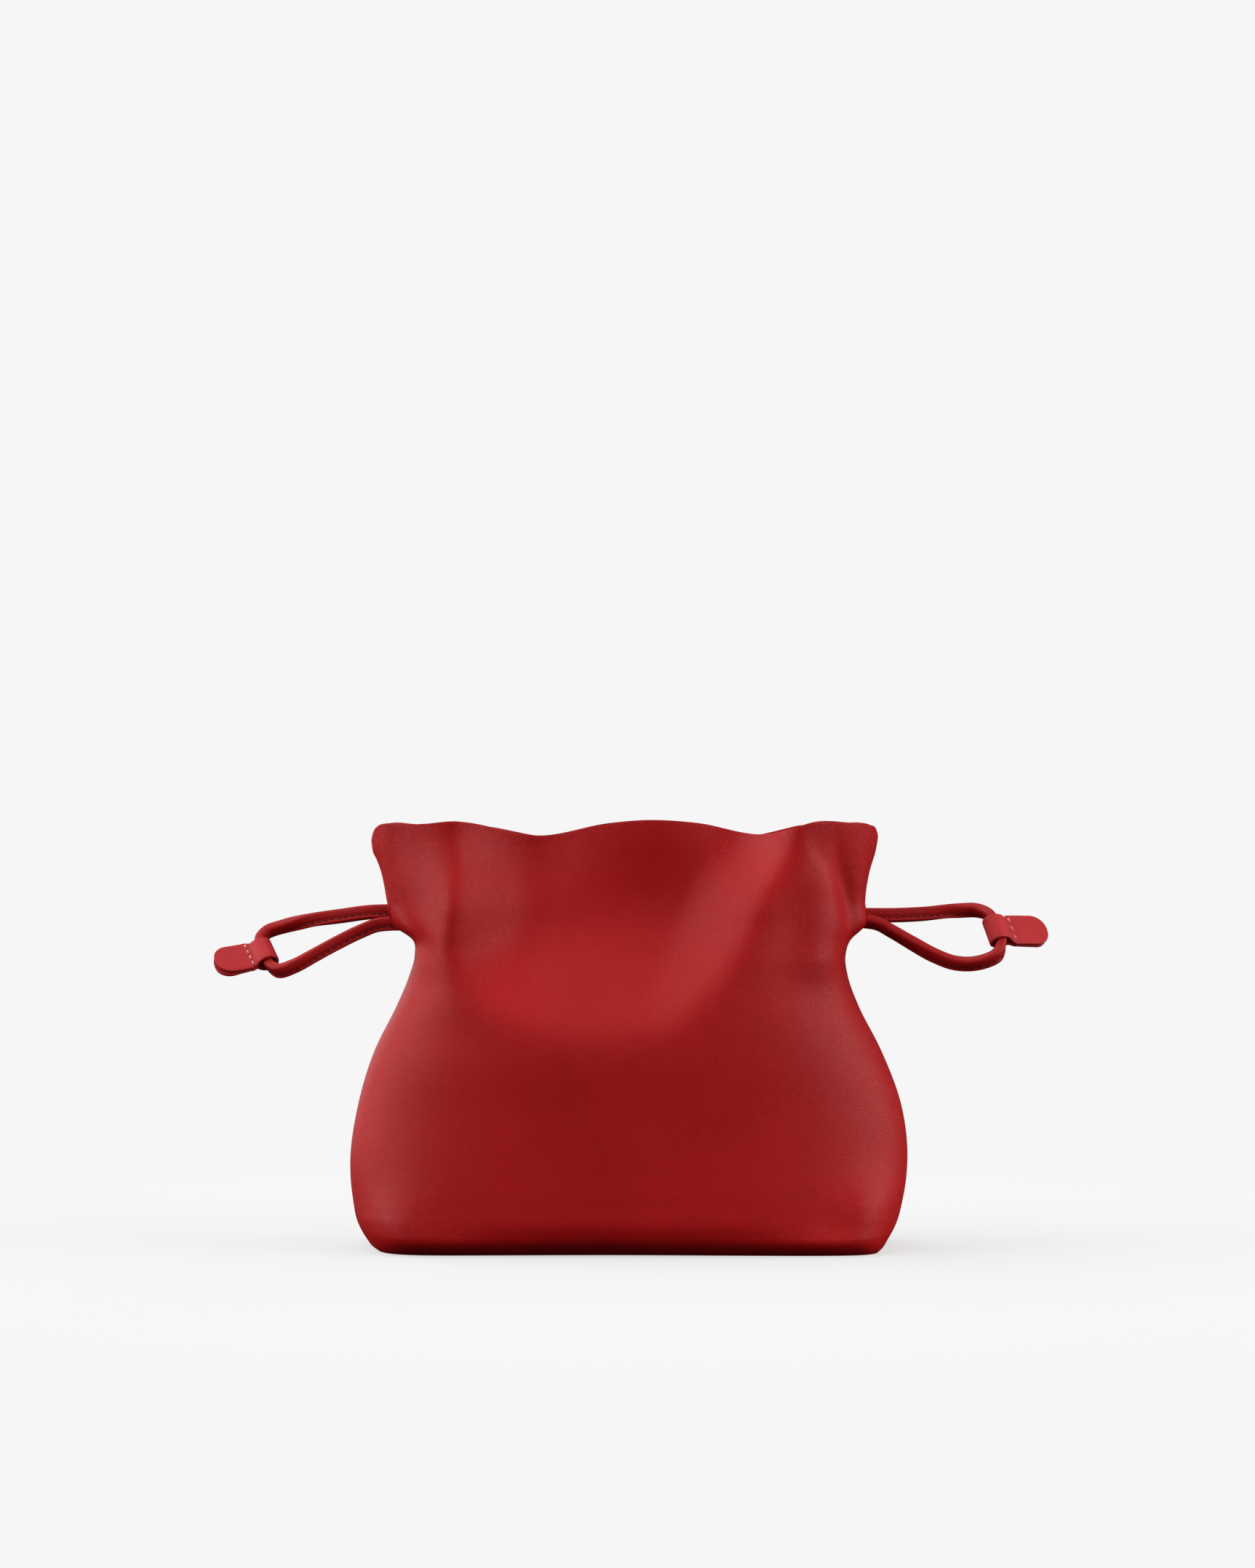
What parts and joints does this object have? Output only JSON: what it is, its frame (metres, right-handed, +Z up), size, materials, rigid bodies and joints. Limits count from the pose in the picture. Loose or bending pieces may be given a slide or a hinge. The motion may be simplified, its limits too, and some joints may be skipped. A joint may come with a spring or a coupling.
{
  "type": "drawstring pouch",
  "caption": "Gathered leather drawstring pouch on a flat base, drawn shut at the neck by cord loops that end in folded pull tabs.",
  "frame": {"origin": "on the floor, under the middle of the bag", "axes": "+X to the right seen from the front, along the bag's width and its pull cords; the front faces -Y; +Z up"},
  "size_m": [0.3594, 0.1035, 0.1835],
  "materials": {
    "bag_leather": "satin",
    "base_leather": "satin",
    "strip_leather": "matte",
    "cord_leather": "satin",
    "tab_leather": "satin"
  },
  "bodies": {
    "bag": {"front_panel": "bag_leather", "back_panel": "bag_leather", "base_panel": "base_leather", "front_channel_strip": "strip_leather", "back_channel_strip": "strip_leather", "left_cord_in_channel": "cord_leather", "right_cord_in_channel": "cord_leather"},
    "left_pull": {"left_cord_loop": "cord_leather"},
    "left_tab": {"left_pull_tab": "tab_leather"},
    "right_pull": {"right_cord_loop": "cord_leather"},
    "right_tab": {"right_pull_tab": "tab_leather"}
  },
  "joints": [
    {"name": "left_draw", "type": "slide", "parent": "bag", "child": "left_pull", "axis": [-1, 0, 0], "range_m": [0, 0.017]},
    {"name": "right_draw", "type": "slide", "parent": "bag", "child": "right_pull", "axis": [1, 0, 0], "range_m": [0, 0.017]},
    {"name": "left_tab_turn", "type": "hinge", "parent": "left_pull", "child": "left_tab", "pos_m": [-0.1562, -0.003, 0.126], "axis": [0.3665, -0.6549, -0.6609], "range_deg": [-60, 60]},
    {"name": "right_tab_turn", "type": "hinge", "parent": "right_pull", "child": "right_tab", "pos_m": [0.1582, -0.002, 0.1359], "axis": [0.2565, -0.5389, -0.8024], "range_deg": [-60, 60]}
  ]
}
